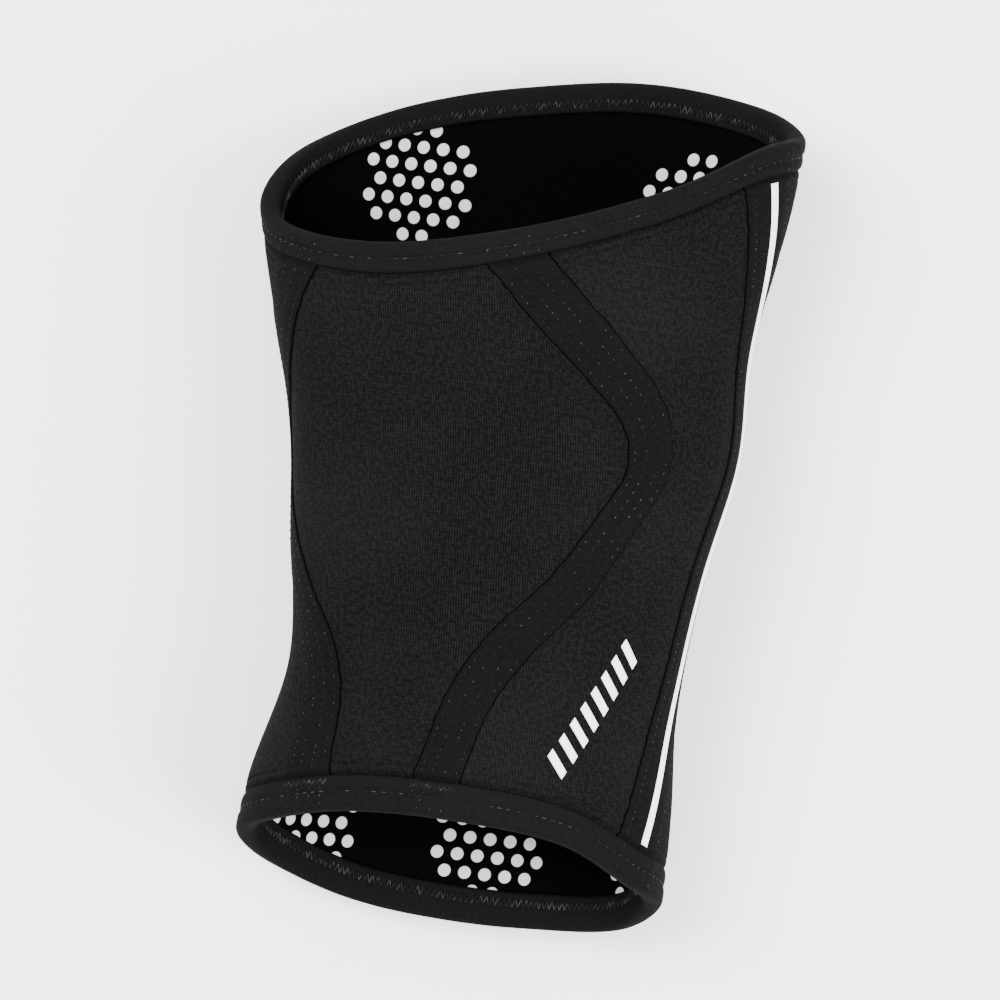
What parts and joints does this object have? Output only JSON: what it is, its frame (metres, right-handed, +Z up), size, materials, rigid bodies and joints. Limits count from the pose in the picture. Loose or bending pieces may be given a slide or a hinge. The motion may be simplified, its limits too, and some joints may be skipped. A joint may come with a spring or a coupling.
{
  "type": "knee sleeve",
  "caption": "Padded neoprene knee sleeve with ribbed knit panels, curved front tapes, bound edges and white piping, lying flat on its back wall.",
  "frame": {"origin": "middle of the sleeve's box, on the surface that it lies on", "axes": "+Z up, +Y along the sleeve towards the thigh end, the kneecap panel on top"},
  "size_m": [0.1808, 0.2946, 0.084],
  "materials": {
    "rib_knit": "charcoal polyester knit with fine lengthwise ribs, bonded to foam",
    "smooth_tape": "smooth black stretch tape with two rows of stitches",
    "edge_binding": "smooth black stretch binding, stitched near its edge",
    "lining_jersey": "smooth blue-black jersey bonded to foam",
    "white_piping": "white reflective film piping"
  },
  "bodies": {
    "root": {"front_panel": "rib_knit", "side_panel_right": "rib_knit", "side_panel_left": "rib_knit", "back_panel": "rib_knit", "lining": "lining_jersey", "seam_tape_right": "smooth_tape", "seam_tape_left": "smooth_tape", "side_tape_right": "smooth_tape", "side_tape_left": "smooth_tape", "reflective_stripe_right": "white_piping", "reflective_stripe_left": "white_piping", "thigh_binding": "edge_binding", "calf_binding": "edge_binding"}
  },
  "joints": []
}
